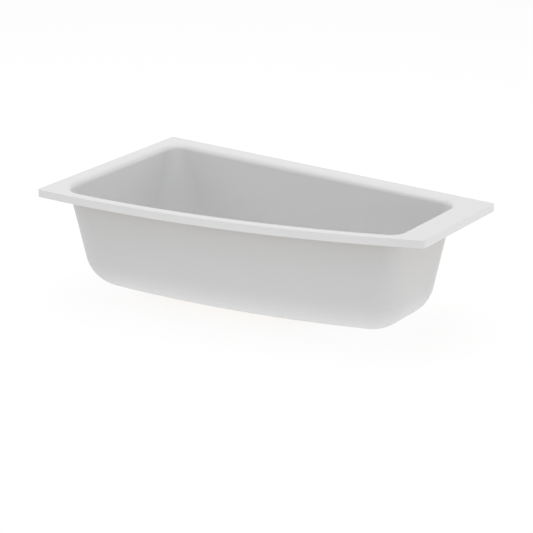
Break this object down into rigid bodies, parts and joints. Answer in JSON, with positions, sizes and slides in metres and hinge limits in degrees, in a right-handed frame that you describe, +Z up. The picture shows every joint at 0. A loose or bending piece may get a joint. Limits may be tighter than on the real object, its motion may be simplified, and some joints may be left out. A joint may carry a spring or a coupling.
{
  "type": "asymmetrical bathtub",
  "caption": "Asymmetrical white acrylic built-in bath with a bowed front, wide at one end, on adjustable feet, with pop-up waste, overflow knob, trap and wall brackets.",
  "frame": {"origin": "on the ground, at the middle of the bath's length and width", "axes": "+X towards the narrow end, +Y towards the wall behind the bath, +Z up"},
  "size_m": [1.6, 0.8998, 0.5],
  "materials": {
    "acrylic": "white gloss acrylic",
    "timber": "raw chipboard and softwood",
    "zinc_steel": "zinc plated",
    "chrome": "polished chrome plate",
    "white_plastic": "moulded white polypropylene",
    "black_plastic": "moulded black",
    "seal_rubber": "moulded black rubber"
  },
  "bodies": {
    "bath": {"base_board": "timber", "body_seal": "seal_rubber", "bracket_screws": "zinc_steel", "control_cable": "black_plastic", "drain_body": "white_plastic", "drain_flange": "chrome", "flange_seal": "seal_rubber", "foot_lock_nuts": "zinc_steel", "foot_weld_nuts": "zinc_steel", "leg_rail_narrow": "zinc_steel", "leg_rail_wide": "zinc_steel", "overflow_back_seal": "seal_rubber", "overflow_body": "white_plastic", "overflow_flange": "chrome", "overflow_front_seal": "seal_rubber", "overflow_nut_bottom": "white_plastic", "overflow_nut_top": "white_plastic", "overflow_pipe": "white_plastic", "rail_screws": "zinc_steel", "rim_strip_back": "timber", "rim_strip_front": "timber", "rim_strip_left": "timber", "rim_strip_right": "timber", "trap_baffle": "white_plastic", "trap_body": "white_plastic", "trap_lid": "white_plastic", "trap_lid_seal": "seal_rubber", "trap_union_nut": "white_plastic", "tub_shell": "acrylic", "wall_bracket_left": "zinc_steel", "wall_bracket_right": "zinc_steel"},
    "plug": {"plug_cap": "chrome", "plug_seal": "seal_rubber", "plug_stem": "zinc_steel"},
    "knob": {"overflow_knob": "chrome", "knob_shaft": "zinc_steel", "cable_drum": "white_plastic"},
    "foot_wide_front": {"foot_stud_wide_front": "zinc_steel", "foot_pad_wide_front": "black_plastic"},
    "foot_wide_back": {"foot_stud_wide_back": "zinc_steel", "foot_pad_wide_back": "black_plastic"},
    "foot_narrow_front": {"foot_stud_narrow_front": "zinc_steel", "foot_pad_narrow_front": "black_plastic"},
    "foot_narrow_back": {"foot_stud_narrow_back": "zinc_steel", "foot_pad_narrow_back": "black_plastic"}
  },
  "joints": [
    {"name": "knob_turn", "type": "hinge", "parent": "bath", "child": "knob", "pos_m": [0.5, 0.36446, 0.322], "axis": [0, -0.9995, 0.0311], "range_deg": [0, 90]},
    {"name": "plug_lift", "type": "slide", "parent": "bath", "child": "plug", "axis": [0, 0, 1], "range_m": [0, 0.01]},
    {"name": "foot_wide_front_height", "type": "slide", "parent": "bath", "child": "foot_wide_front", "axis": [-0.024, 0, -0.9997], "range_m": [0, 0.02]},
    {"name": "foot_wide_back_height", "type": "slide", "parent": "bath", "child": "foot_wide_back", "axis": [-0.024, 0, -0.9997], "range_m": [0, 0.02]},
    {"name": "foot_narrow_front_height", "type": "slide", "parent": "bath", "child": "foot_narrow_front", "axis": [-0.024, 0, -0.9997], "range_m": [0, 0.02]},
    {"name": "foot_narrow_back_height", "type": "slide", "parent": "bath", "child": "foot_narrow_back", "axis": [-0.024, 0, -0.9997], "range_m": [0, 0.02]}
  ],
  "couplings": [
    {"joint": "plug_lift", "follows": "knob_turn", "m_per_rad": 0.006366}
  ]
}
